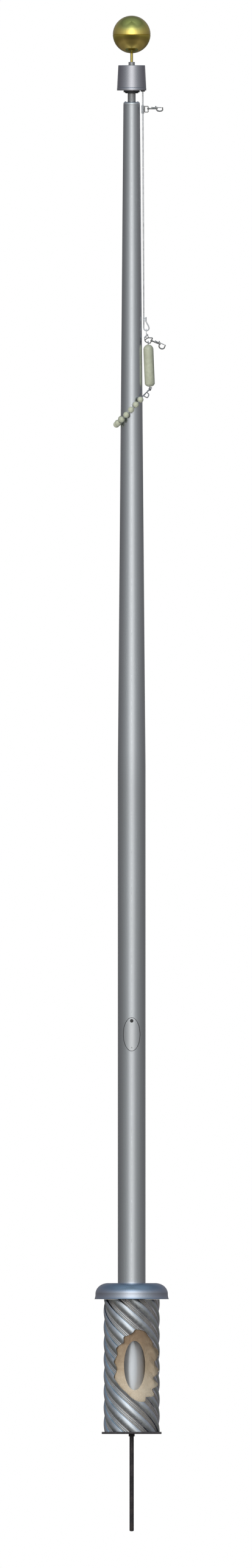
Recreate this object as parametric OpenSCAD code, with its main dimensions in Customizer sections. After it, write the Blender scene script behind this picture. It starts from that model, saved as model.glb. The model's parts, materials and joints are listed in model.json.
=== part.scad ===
// Internal-halyard flagpole: aluminium shaft with a straight butt and a tapered top,
// a revolving truck with a gilt ball, a halyard with two swivel snaps, a sleeved
// counterweight and a beaded retainer ring, a flush access door, a flash collar, and
// the corrugated ground sleeve, base plate and spike that hold it.
// Frame: Z is the pole axis, z = 0 is the ground line under the flash collar.
// The access door faces -Y and the halyard hangs on the +X side. Millimetres.

/* [Shaft] */
// Outer diameter of the straight butt
butt_d = 127; // [122:0.5:127]
// Outer diameter at the top of the taper
top_d = 76.2; // [74:0.2:78]
// Wall thickness of the tube
wall = 3.2; // [2.5:0.1:4]
// Height of the shaft above the ground line
shaft_top = 5475; // [5400:1:5500]
// Height where the taper starts
taper_z = 2442; // [2000:1:2600]
// Depth of the shaft below the ground line
set_depth = 608; // [600:1:620]

/* [Access door] */
// Width of the oval opening
door_w = 78.8; // [74:0.2:80]
// Height of the oval opening
door_h = 155; // [150:1:158]
// Height of the centre of the opening
door_z = 1214; // [1100:1:1500]
// Gap round the door
door_gap = 2.3; // [1.5:0.1:2.6]
// Diameter of the lock face
lock_d = 16.2; // [15:0.2:17]

/* [Flash collar] */
// Diameter of the foot of the collar
collar_d = 341; // [330:1:350]
// Height of the collar
collar_h = 74; // [70:1:80]
// Thickness of the spun metal
collar_t = 2.5; // [2:0.1:3]

/* [Ground sleeve] */
// Outer diameter over the ridges
sleeve_d = 257; // [256:0.5:260]
// Height of the corrugation
ridge_h = 7; // [5:0.5:8]
// Sheet thickness
sleeve_t = 2; // [1.6:0.1:2.5]
// Number of ridges round the sleeve
ridges = 9; // [9:1:9]
// Rise of one full turn of a ridge
ridge_lead = 664; // [600:1:720]
// Side of the square base plate
plate_w = 274.5; // [270:0.5:280]
// Thickness of the base plate
plate_t = 10; // [8:0.5:12]
// Diameter of the spike
spike_d = 20; // [18:0.5:22]
// Length of the spike below the plate
spike_len = 446; // [400:1:460]

/* [Truck and ball] */
// Height of the underside of the hood
hood_z = 5540; // [5540:1:5540]
// Height of the hood
hood_h = 116; // [114:1:120]
// Diameter of the hood at its foot
hood_d1 = 134; // [133:0.5:136]
// Diameter of the hood at its top
hood_d2 = 123; // [122:0.5:126]
// Diameter of the ball
ball_d = 172.8; // [170:0.2:176]
// Diameter of the ball's rod
rod_d = 12.5; // [12:0.1:14]

/* [Halyard] */
// Diameter of the halyard cable
cable_d = 6.2; // [5.5:0.1:6.4]
// Distance of the outer run from the axis, at the truck
run_x = 51; // [51:0.5:51]
// Diameter of the counterweight
weight_d = 46; // [44:0.5:46]
// Length of the counterweight
weight_len = 194; // [185:1:198]
// Tilt of the counterweight
weight_tilt = 2.3; // [2:0.1:2.5]
// Diameter of a bead
bead_d = 28.4; // [27:0.2:28.8]
// Radius of the bead ring round the pole, in plan
ring_r = 69.8; // [69.6:0.1:71]
// Rise of the tilted ring above and below its middle
ring_rise = 74.6; // [70:0.1:76]
// Height of the middle of the ring
ring_z = 4083.5; // [4080:0.5:4088]

/* [Hidden] */
$fn = 64;
eps = 0.01;
butt_r = butt_d / 2;
top_r = top_d / 2;
cable_r = cable_d / 2;
ball_r = ball_d / 2;
cap_h = 13;
rod_z0 = hood_z + hood_h;          // top of the hood
boss_h = 15;
rod_h = 40;
ball_z = rod_z0 + boss_h + rod_h + ball_r - 0.4;
sheave_r = run_x / 2;              // pitch radius, so both runs are tangent
sheave_z = hood_z + 60;
spindle_r = 18.25;
spindle_top = hood_z + 20;
fit = 0.06;                        // radial running clearance
hub_r = 14;                        // collar that holds the spike in the base plate

// outer radius of the shaft at height z
function pole_r(z) = z <= taper_z ? butt_r
  : butt_r - (butt_r - top_r) * (z - taper_z) / (shaft_top - taper_z);
// points of an ellipse
function oval(a, b, n = 72) = [for (i = [0:n-1]) [a*cos(360*i/n), b*sin(360*i/n)]];
// a prism standing on the XZ plane and running from y = y0 towards -Y
module front_prism(y0, len) translate([0, y0, 0]) rotate([90, 0, 0])
  linear_extrude(height = len) children();
// cylinder between two points
module rod(a, b, r, fn = 24) {
  d = b - a;
  l = norm(d);
  translate(a) rotate([0, acos(d[2]/l), atan2(d[1], d[0])])
    cylinder(r = r, h = l, $fn = fn);
}
// round tube swept along points that lie in the XZ plane
function tan2(p, i, closed) = let (n = len(p),
    a = closed ? p[(i+n-1)%n] : p[max(i-1, 0)],
    b = closed ? p[(i+1)%n] : p[min(i+1, n-1)], d = b - a) d / norm(d);
module sweep_xz(p, r, sides = 10, closed = false) {
  n = len(p);
  pts = [for (i = [0:n-1]) let (t = tan2(p, i, closed), m = [-t[1], t[0]])
    for (k = [0:sides-1]) let (c = r*cos(360*k/sides), s = r*sin(360*k/sides))
      [p[i][0] + m[0]*c, s, p[i][1] + m[1]*c]];
  last = closed ? n-1 : n-2;
  side = [for (i = [0:last]) for (k = [0:sides-1])
    let (i2 = (i+1)%n, k2 = (k+1)%sides,
      a = i*sides+k, b = i*sides+k2, c = i2*sides+k2, d = i2*sides+k)
    each [[a, b, c], [a, c, d]]];
  caps = closed ? [] : [[for (k = [sides-1:-1:0]) k],
    [for (k = [0:sides-1]) (n-1)*sides+k]];
  polyhedron(points = pts, faces = concat(side, caps), convexity = 6);
}

// ---------------- shaft, cap, spindle ----------------
// the one tube, in four lengths that meet end to end
split = [-set_depth, 1100, 1328, 3300, shaft_top];
module shaft_length(i) color("silver") {
  a = split[i];
  b = split[i+1];
  mid = a < taper_z && b > taper_z ? [[butt_r, taper_z]] : [];
  inner = a < taper_z && b > taper_z ? [[butt_r - wall, taper_z]] : [];
  rotate_extrude($fn = 96) polygon(concat([[pole_r(a) - wall, a], [pole_r(a), a]], mid,
    [[pole_r(b), b], [pole_r(b) - wall, b]], inner));
}
module shaft_foot() shaft_length(0);
module shaft_access() difference() {
  shaft_length(1);
  translate([0, 0, door_z]) front_prism(-38, 40) polygon(oval(door_w/2, door_h/2));
}
module shaft_middle() shaft_length(2);
module shaft_upper() shaft_length(3);
module pole_cap() color("lightgray") rotate_extrude() difference() {
  polygon([[12, shaft_top - 30], [top_r - wall - 0.02, shaft_top - 30],
    [top_r - wall - 0.02, shaft_top], [top_r - 0.4, shaft_top],
    [top_r - 0.4, shaft_top + 5], [top_r - 1.4, shaft_top + 9],
    [top_r - 3.6, shaft_top + 12], [top_r - 6, shaft_top + cap_h],
    [12, shaft_top + cap_h]]);
}
module cap_screws() color("dimgray") for (a = [0:45:315]) rotate([0, 0, a + 22.5])
  translate([30.5, 0, shaft_top + cap_h]) intersection() {
    cylinder(r = 3.4, h = 2.2);
    translate([0, 0, -1.6]) sphere(r = 4.2);
  }
module spindle() color("gray") rotate_extrude() polygon([
  [8, shaft_top - 30], [11.98, shaft_top - 30], [11.98, shaft_top + cap_h],
  [spindle_r, shaft_top + cap_h], [spindle_r, spindle_top],
  [8, spindle_top]]);
module retaining_ring() color("dimgray") rotate_extrude() polygon([
  [spindle_r + 0.02, hood_z + 14.5], [23, hood_z + 14.5],
  [23, hood_z + 19], [spindle_r + 0.02, hood_z + 19]]);

// ---------------- access door ----------------
module wall_shell(r0, r1) difference() {
  translate([0, 0, door_z - 95]) cylinder(r = r1, h = 190, $fn = 96);
  translate([0, 0, door_z - 96]) cylinder(r = r0, h = 192, $fn = 96);
}
module door_frame() color("darkgray") difference() {
  intersection() {
    wall_shell(butt_r - wall - 3, butt_r - wall - 0.03);
    translate([0, 0, door_z]) front_prism(-28, 40) difference() {
      polygon(oval(door_w/2 + 7, door_h/2 + 7));
      difference() {
        polygon(oval(door_w/2 - 5, door_h/2 - 5));
        translate([-9, -door_h/2]) square([18, 25]);
      }
    }
  }
  translate([0, 0, door_z - 61]) front_prism(-40, 30) circle(r = 2.5);
}
module door_panel() color("silver") difference() {
  intersection() {
    wall_shell(butt_r - wall + 0.2, butt_r);
    translate([0, 0, door_z]) front_prism(-35, 40)
      polygon(oval(door_w/2 - door_gap, door_h/2 - door_gap));
  }
  translate([0, 0, door_z + 62]) front_prism(-40, 30) circle(r = 7);
  translate([0, 0, door_z - 61]) front_prism(-40, 30) circle(r = 2.05);
}
module door_screw() color("gray") difference() {
  translate([0, 0, door_z - 61]) {
    front_prism(-55.5, 8) circle(r = 2.03);
    front_prism(-63.5, 1.7) circle(r = 3.2);
  }
  translate([-2.4, -66, door_z - 61.4]) cube([4.8, 1.5, 0.8]);
}
module lock_cylinder() color("black") translate([0, 0, door_z + 62]) difference() {
  union() {
    front_prism(-63.9, 2.6) circle(r = lock_d/2);
    front_prism(-42, 22) circle(r = 7 - fit);
    translate([-6, -46, -27]) cube([12, 3, 27]);
    translate([0, -43, 0]) rotate([90, 0, 0]) cylinder(r = 6, h = 3);
  }
  translate([-0.7, -67, -3.4]) cube([1.4, 2, 6.8]);
}

// ---------------- flash collar and ground parts ----------------
function collar_arc(a, b, cx, cz, n = 14) =
  [for (i = [0:n]) let (t = 90 * i / n) [cx + a*sin(t), cz + b*cos(t)]];
module flash_collar() color("slategray") rotate_extrude($fn = 96) polygon(concat(
  [[butt_r + 0.02, collar_h - collar_t], [butt_r + 0.02, collar_h]],
  collar_arc(58, 49, 108, collar_h - 49),
  [[collar_d/2, 0], [collar_d/2 - collar_t, 0]],
  [for (i = [14:-1:0]) let (t = 90*i/14)
    [108 + (58 - collar_t)*sin(t), collar_h - 49 + (49 - collar_t)*cos(t)]]));

function ridge_ring(r, n) = [for (i = [0:n-1]) let (a = 360*i/n)
  (r + ridge_h/2*cos(ridges*a)) * [cos(a), sin(a)]];
module sleeve_tube() {
  tw = 360 * set_depth / ridge_lead;
  translate([0, 0, -set_depth]) linear_extrude(height = set_depth - 0.5, twist = tw,
    slices = 36, convexity = 8) difference() {
      polygon(ridge_ring(sleeve_d/2 - ridge_h/2, 36));
      polygon(ridge_ring(sleeve_d/2 - ridge_h/2 - sleeve_t, 36));
    }
}
// ragged edge of the cut-away, along and across the ridges
window = [[28, -139], [61, -148], [79, -173], [95, -197], [100, -217], [118, -229],
  [124, -250], [118, -271], [105, -287], [108, -303], [125, -324], [123, -342], [100, -358],
  [103, -370], [120, -386], [117, -401], [95, -411], [99, -426], [104, -435], [98, -446],
  [65, -449], [62, -467], [33, -470], [-2, -451], [-25, -428], [-48, -407], [-71, -377],
  [-82, -356], [-71, -333], [-71, -310], [-82, -287], [-71, -266], [-67, -247],
  [-71, -224], [-48, -206], [-37, -197], [-37, -173], [-18, -167], [3, -155], [14, -141]];
module ground_sleeve() color("gainsboro") difference() {
  sleeve_tube();
  front_prism(-2, 150) polygon(window);
}
module sand_fill() color("burlywood") difference() {
  translate([0, 0, -set_depth]) cylinder(r = 117, h = set_depth - 8, $fn = 96);
  translate([0, 0, -set_depth - 1]) cylinder(r = butt_r + 0.02, h = set_depth + 2, $fn = 96);
  translate([13.3, 0, -304]) front_prism(-8, 130) polygon(oval(48.5, 113, 48));
}
module sleeve_base_plate() color([0.2, 0.18, 0.18]) difference() {
  translate([-plate_w/2, -plate_w/2, -set_depth - plate_t]) cube([plate_w, plate_w, plate_t]);
  translate([0, 0, -set_depth - plate_t - 1]) cylinder(r = hub_r, h = plate_t + 2);
}
module earth_spike() color([0.2, 0.18, 0.19]) rotate_extrude() {
  z0 = -set_depth - plate_t - spike_len;
  polygon(concat([[0, -set_depth], [0, z0]],
    [for (i = [1:6]) [spike_d/2*sin(15*i), z0 + 4 - 4*cos(15*i)]],
    [[spike_d/2, -set_depth - plate_t - 11], [hub_r, -set_depth - plate_t - 11],
     [hub_r, -set_depth]]));
}

// ---------------- truck ----------------
module truck_hood() color("silver") rotate_extrude($fn = 96) polygon([
  [rod_d/2, rod_z0 - 3], [rod_d/2, rod_z0], [hood_d2/2 - 1, rod_z0], [hood_d2/2, rod_z0 - 1],
  [hood_d1/2 - 0.6, hood_z + 13], [hood_d1/2 + 0.2, hood_z + 12], [hood_d1/2 + 0.2, hood_z],
  [hood_d1/2 - 2.5, hood_z], [hood_d1/2 - 2.5, hood_z + 12],
  [hood_d2/2 - 2.5, rod_z0 - 3]]);
module truck_plate() color("dimgray") difference() {
  translate([0, 0, hood_z]) cylinder(r = hood_d1/2 - 2.6, h = 5, $fn = 96);
  translate([0, 0, hood_z - 1]) cylinder(r = 26, h = 7);
  translate([run_x, 0, hood_z - 1]) cylinder(r = 6.5, h = 7);
}
module truck_boss() color("silver") rotate_extrude() polygon([
  [rod_d/2, rod_z0], [15, rod_z0], [15, rod_z0 + 1.5], [14.4, rod_z0 + 2], [14.4, rod_z0 + boss_h - 1],
  [13.4, rod_z0 + boss_h], [rod_d/2, rod_z0 + boss_h]]);
module finial_rod() color("gold")
  translate([0, 0, rod_z0 - 6]) cylinder(r = rod_d/2, h = boss_h + rod_h + 14);
module ball_shell(s) difference() {
  translate([0, 0, ball_z]) sphere(r = ball_r, $fn = 96);
  translate([0, 0, ball_z]) sphere(r = ball_r - 1.6, $fn = 96);
  translate([0, 0, ball_z + (s > 0 ? -200 : 0)]) translate([-150, -150, 0]) cube([300, 300, 200]);
  translate([0, 0, ball_z - ball_r - 5]) cylinder(r = rod_d/2, h = 40);
}
module ball_lower() color("gold") ball_shell(-1);
module ball_upper() color("gold") ball_shell(1);
module bearing_housing() color([0.3, 0.3, 0.31]) rotate_extrude() polygon([
  [spindle_r + fit, hood_z - 13], [27.5, hood_z - 13], [27.5, hood_z - 8],
  [37, hood_z - 8], [37, hood_z], [25.98, hood_z], [25.98, hood_z + 14],
  [spindle_r + fit, hood_z + 14]]);
module housing_bolts() color([0.25, 0.25, 0.26]) for (a = [0:60:300]) rotate([0, 0, a + 30])
  translate([32.3, 0, hood_z - 11.5]) cylinder(r = 3.9, h = 3.5, $fn = 6);
module halyard_guide() color("black") translate([run_x, 0, 0]) rotate_extrude() polygon([
  [4.4, hood_z - 5], [9.3, hood_z - 5], [10.3, hood_z - 4], [10.3, hood_z],
  [6.48, hood_z], [6.48, hood_z + 8], [4.4, hood_z + 8]]);
module sheave() color("dimgray") translate([sheave_r, 0, sheave_z]) rotate([90, 0, 0])
  rotate_extrude() polygon([[5, -6], [28, -6], [28.4, -5.4], [sheave_r - cable_r - 0.05, -1.6],
    [sheave_r - cable_r - 0.05, 1.6], [28.4, 5.4], [28, 6], [5, 6]]);
module sheave_pin() color("gray") translate([sheave_r, 14, sheave_z]) rotate([90, 0, 0])
  cylinder(r = 4.95, h = 28);
module sheave_bracket() color("dimgray") difference() {
  for (s = [-1, 1]) translate([0, s > 0 ? 11 : -7, 0]) rotate([90, 0, 0])
    linear_extrude(height = 4) polygon([[29, hood_z + 5], [47, hood_z + 5],
      [36, sheave_z + 9], [17, sheave_z + 11], [14, sheave_z - 6]]);
  translate([sheave_r, 20, sheave_z]) rotate([90, 0, 0]) cylinder(r = 4.96, h = 40);
}

// ---------------- halyard ----------------
run_top = hood_z - 5;
run_bot = 4484;
run_bx = 55.6;
module halyard_inner_run() color("silver") {
  translate([0, 0, door_z + 110]) cylinder(r = cable_r, h = sheave_z - door_z - 110, $fn = 24);
  translate([0, 0, door_z + 96]) rotate([90, 0, 0]) rotate_extrude() translate([12, 0]) circle(r = 2.6);
}
module halyard_cable() color("silver") {
  translate([sheave_r, 0, sheave_z]) rotate([90, 0, 0]) rotate_extrude(angle = 180)
    translate([sheave_r, 0]) circle(r = cable_r, $fn = 24);
  translate([run_x, 0, run_top]) cylinder(r = cable_r, h = sheave_z - run_top, $fn = 24);
  translate([run_x, 0, run_top]) sphere(r = cable_r, $fn = 24);
  rod([run_x, 0, run_top], [run_bx, 0, run_bot], cable_r);
}
// swivel snaps: the origin is the middle of the eye's outer bar and +X runs along
// the shank; the eye has a boss there, and the hook's swivel pin turns in it
eye_t = 4.6;
bolt_v = 5.1;                      // height of the spring bolt above the shank's axis
module eye_bore() translate([-4, 0, 0]) rotate([0, 90, 0]) cylinder(r = 2.4 + fit, h = 8);
module eye_boss() translate([-eye_t/2, 0, 0]) rotate([0, 90, 0]) cylinder(r = 4.4, h = eye_t);
module snap_hook(cx, cz, rx, rz) {
  a = rx - 2.6;
  b = rz - 2.6;
  difference() {
    union() {
      translate([-4.6, 0, 0]) rotate([0, 90, 0]) cylinder(r = 3.7, h = 1.9);
      translate([-3, 0, 0]) rotate([0, 90, 0]) cylinder(r = 2.4, h = 8);
      translate([2.7, 0, 0]) rotate([0, 90, 0]) cylinder(r = 4.1, h = 2.6);
      translate([4, 0, 0]) rotate([0, 90, 0]) cylinder(r = 3.2, h = cx - rx + 1);
      for (u = [15.5, 38.5]) translate([u, -2.9, 0]) cube([4, 5.8, bolt_v + 3.1]);
      sweep_xz(concat([for (i = [0:14]) let (t = 146 + i*(375 - 146)/14)
        [cx + a*cos(t), cz + b*sin(t)]],
        [[cx + a*cos(15) - 0.1, bolt_v - 3.2], [cx + a*cos(15) - 1.1, bolt_v + 1.5]]), 2.6);
    }
    translate([14, 0, bolt_v]) rotate([0, 90, 0]) cylinder(r = 1.7 + fit, h = 30);
  }
}
module snap_bolt(cx, rx) {
  translate([14.5, 0, bolt_v]) rotate([0, 90, 0])
    cylinder(r = 1.7, h = cx + (rx - 2.6)*cos(15) - 4.4 - 14.5);
  translate([34.8, 0, bolt_v]) cylinder(r = 1.5, h = 4);
  translate([34.8, 0, bolt_v + 4.8]) sphere(r = 2.7);
}
module upper_frame() translate([75.5, 0, 5457]) children();
module lower_frame() translate([90.6, 0, 4393.4]) rotate([0, 22, 0]) children();
module upper_snap_eye() color("dimgray") upper_frame() difference() {
  union() {
    translate([-8, eye_t/2, -2.4]) rotate([90, 0, 0]) linear_extrude(height = eye_t) difference() {
      translate([-10.3, -15.5]) union() {
        translate([2, 0]) square([16.6, 31]);
        translate([0, 2]) square([20.6, 27]);
        for (x = [2, 18.6], y = [2, 29]) translate([x, y]) circle(r = 2);
      }
      translate([-10.3 + eye_t, -15.5 + eye_t]) square([20.6 - 2*eye_t, 31 - 2*eye_t]);
    }
    eye_boss();
  }
  eye_bore();
}
module upper_snap_hook() color("dimgray") upper_frame() snap_hook(52.9, -4.2, 16.5, 10.6);
module upper_snap_bolt() color("gray") upper_frame() snap_bolt(52.9, 16.5);
module lower_snap_eye() color("dimgray") difference() {
  union() {
    sweep_xz([[76, 4407], [96, 4406], [90.6, 4393.4], [85, 4381], [66, 4387], [59.5, 4395], [66, 4401]],
      2.4, 8, true);
    lower_frame() eye_boss();
  }
  lower_frame() eye_bore();
}
module lower_snap_hook() color("dimgray") lower_frame() snap_hook(53.9, -6.4, 15.9, 14);
module lower_snap_bolt() color("gray") lower_frame() snap_bolt(53.9, 15.9);
function run_cx(z) = run_x + (run_bx - run_x) * (run_top - z) / (run_top - run_bot);
module snap_hitch() color("gray") {
  for (i = [0:5]) translate([run_cx(5436 + 7.2*i), 0, 5436 + 7.2*i]) rotate([0, 12, 0])
    rotate_extrude() translate([cable_r + 2.05, 0]) circle(r = 1.9, $fn = 24);
}
module cable_ferrule() color("gray") difference() {
  translate([0, 0, run_bot - 1]) {
    for (z = [0, 11.5]) translate([0, 0, z]) linear_extrude(height = 7) oblong(9.4);
    linear_extrude(height = 18.5) oblong(7.4);
  }
  rod([run_x, 0, run_top], [run_bx, 0, run_bot] + 0.01*([run_bx, 0, run_bot] - [run_x, 0, run_top]), cable_r + 0.02);
}
module oblong(w) {
  translate([51.8 + w/2, 0]) circle(r = w/2);
  translate([68.5 - w/2, 0]) circle(r = w/2);
  translate([51.8 + w/2, -w/2]) square([16.7 - w, w]);
}
module cable_loop() color("silver") sweep_xz([
  [55.7, 4483], [55.6, 4474], [55.5, 4464], [55.5, 4453], [57.4, 4446], [61.5, 4441.5], [67.5, 4439.5],
  [73, 4440.5], [77.3, 4444.6], [79.4, 4450.4], [78.4, 4456.8], [74.8, 4464.6], [70.2, 4473], [65.2, 4483]], cable_r);
// thin link under the loop, and the barrel that the snap's eye hangs from
module drop_link() color("gray") {
  translate([67.2, 0, 0]) rotate([0, 0, 90])
    sweep_xz([for (t = [0:30:180]) [5.2*cos(t), 4440.3 + 5.2*sin(t)],
      for (t = [180:30:360]) [5.2*cos(t), 4413 + 5.2*sin(t)]], 1.7, 8, true);
}
module link_barrel() color("dimgray") {
  rod([73.6, 0, 4423.4], [58.2, 0, 4405.4], 3.2);
  rod([73, 0, 4422.4], [76, 0, 4408.6], 1.8);
  rod([58.8, 0, 4406.4], [59.8, 0, 4396.4], 1.8);
}
cw_top = [75.9, 0, 4376];
module cw_frame() translate(cw_top) rotate([0, -weight_tilt, 0]) children();
module counterweight() color([0.7, 0.71, 0.62]) cw_frame() rotate_extrude() {
  r = weight_d/2;
  polygon(concat([for (i = [0:8]) [r*sin(11.25*i), -24 + 24*cos(11.25*i)]],
    [for (i = [0:8]) [r*cos(11.25*i), -weight_len + 17 - 17*sin(11.25*i)]]));
}
module counterweight_top_eye() color("dimgray") cw_frame() {
  translate([0, 0, -0.5]) cylinder(r = 2.4, h = 3.2);
  translate([0, 0, 9.2]) rotate([0, 90, 0]) rotate_extrude() translate([6.2, 0]) circle(r = 1.9, $fn = 24);
}
module counterweight_bottom_eye() color("dimgray") cw_frame() {
  translate([0, 0, -weight_len - 3.6]) cylinder(r = 2.4, h = 4);
  translate([0, 0, -weight_len - 10]) rotate([0, 0, 39]) rotate([0, 90, 0])
    rotate_extrude() translate([6.8, 0]) circle(r = 1.9, $fn = 24);
}
// the ring lies in a tilted plane: t is 0 on +X, 90 in front of the shaft
function ring_pt(t) = [ring_r*cos(t), -ring_r*sin(t), ring_z + ring_rise*cos(t + 3)];
// link that closes the ring, with the pin that hangs from the counterweight's lower eye
clip_a = [55, -40, 4140];
clip_b = [72, -23, 4131];
clip_c = [80, -7, 4146];
clip_d = [69, -13, 4158];
module ring_clip() color("dimgray") {
  c = [clip_a, clip_b, clip_c, clip_d];
  for (i = [0:3]) rod(c[i], c[(i+1)%4], 2.3);
  for (q = c) translate(q) sphere(r = 2.8);
  rod(clip_d, [90.1, 4.3, 4177], 2.3);
  translate([90.1, 4.3, 4177]) sphere(r = 3.4);
}
module ring_wire() color("gray") {
  n = 40;
  pts = [for (i = [0:n-1]) let (t = 40 + 326*i/(n-1), p = ring_pt(t), q = ring_pt(t + 1) - p,
    u = q / norm(q), o = [cos(t), -sin(t), 0], v = cross(u, o), w = cross(v, u))
    for (k = [0:7]) p + 1.8*(cos(45*k)*w/norm(w) + sin(45*k)*v/norm(v))];
  polyhedron(points = pts, faces = concat([for (i = [0:n-2]) for (k = [0:7])
      let (k2 = (k+1)%8, a = i*8+k, b = i*8+k2, c = (i+1)*8+k2, d = (i+1)*8+k)
      each [[c, b, a], [d, c, a]]],
    [[for (k = [0:7]) k], [for (k = [7:-1:0]) (n-1)*8+k]]), convexity = 6);
}
// beads at equal steps along the wire
bead_step = 32.4;
function ring_step(t) = bead_step / norm([ring_r, ring_rise*sin(t + 3)]) * 180 / PI;
function bead_angles(t, n) = n == 0 ? []
  : concat([t], bead_angles(t + ring_step(t + ring_step(t)/2), n - 1));
module bead() rotate_extrude() difference() {
  circle(r = bead_d/2);
  translate([-bead_d, -bead_d]) square([bead_d + 3.5, 2*bead_d]);
}
module ring_beads() color([0.72, 0.73, 0.64]) for (t = bead_angles(55, 12)) {
  q = ring_pt(t + 0.5) - ring_pt(t - 0.5);
  translate(ring_pt(t)) rotate([0, acos(q[2]/norm(q)), atan2(q[1], q[0])]) bead();
}

shaft_foot();
shaft_access();
shaft_middle();
shaft_upper();
pole_cap();
cap_screws();
spindle();
retaining_ring();
door_frame();
flash_collar();
ground_sleeve();
sand_fill();
sleeve_base_plate();
earth_spike();
truck_hood();
truck_plate();
truck_boss();
finial_rod();
ball_lower();
ball_upper();
bearing_housing();
housing_bolts();
sheave();
sheave_pin();
sheave_bracket();
halyard_guide();
halyard_inner_run();
halyard_cable();
snap_hitch();
upper_snap_eye();
cable_ferrule();
cable_loop();
drop_link();
link_barrel();
lower_snap_eye();
counterweight();
counterweight_top_eye();
counterweight_bottom_eye();
ring_clip();
ring_wire();
ring_beads();
upper_snap_hook();
upper_snap_bolt();
lower_snap_hook();
lower_snap_bolt();
door_panel();
door_screw();
lock_cylinder();
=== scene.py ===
import json
import math
import random

import bmesh
import bpy
from mathutils import Matrix, Vector, noise


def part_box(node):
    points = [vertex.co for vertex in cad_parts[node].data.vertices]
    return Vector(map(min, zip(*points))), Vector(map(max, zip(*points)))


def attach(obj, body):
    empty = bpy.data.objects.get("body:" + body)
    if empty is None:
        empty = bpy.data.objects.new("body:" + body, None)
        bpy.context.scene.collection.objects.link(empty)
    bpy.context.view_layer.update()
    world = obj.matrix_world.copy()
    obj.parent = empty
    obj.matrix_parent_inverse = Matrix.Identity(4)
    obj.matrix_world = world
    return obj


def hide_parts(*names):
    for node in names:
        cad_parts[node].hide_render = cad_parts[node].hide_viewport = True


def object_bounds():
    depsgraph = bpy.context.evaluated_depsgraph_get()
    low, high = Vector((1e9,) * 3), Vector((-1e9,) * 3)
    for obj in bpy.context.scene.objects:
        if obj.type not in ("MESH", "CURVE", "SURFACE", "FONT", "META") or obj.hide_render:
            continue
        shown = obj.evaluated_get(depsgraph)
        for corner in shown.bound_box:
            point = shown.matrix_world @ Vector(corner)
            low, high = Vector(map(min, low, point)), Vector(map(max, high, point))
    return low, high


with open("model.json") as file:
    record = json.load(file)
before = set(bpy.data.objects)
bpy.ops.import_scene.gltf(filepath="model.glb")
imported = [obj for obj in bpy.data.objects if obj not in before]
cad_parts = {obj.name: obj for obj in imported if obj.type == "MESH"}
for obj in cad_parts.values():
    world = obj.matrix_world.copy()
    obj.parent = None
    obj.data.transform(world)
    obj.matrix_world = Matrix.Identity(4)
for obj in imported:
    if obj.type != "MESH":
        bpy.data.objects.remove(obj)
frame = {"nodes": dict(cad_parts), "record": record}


def bounds():
    return [[float(x) for x in c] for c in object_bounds()]


cad_box = bounds()
nodes = frame["nodes"]
scene = bpy.context.scene
scene.view_settings.view_transform = "Standard"
scene.view_settings.look = "None"
scene.view_settings.exposure = 0.0
scene.view_settings.gamma = 1.0
random.seed(7)
PI = math.pi


# ------------------------------------------------------------------ camera
MM = 0.00279                      # metres to one pixel of the 414 x 2576 frame
VIEW_H = 2576 * MM
AXIS_X, GROUND_Y = 216.3, 2134.4  # where the pole's axis and the ground line fall in that frame
cam_data = bpy.data.cameras.new("camera")
cam_data.type = "ORTHO"
cam_data.ortho_scale = VIEW_H
cam_data.clip_end = 60
cam = bpy.data.objects.new("camera", cam_data)
cam.location = ((207 - AXIS_X) * MM, -9.0, (GROUND_Y - 1288) * MM)
cam.rotation_euler = (PI / 2, 0, 0)
scene.collection.objects.link(cam)
scene.camera = cam


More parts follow.
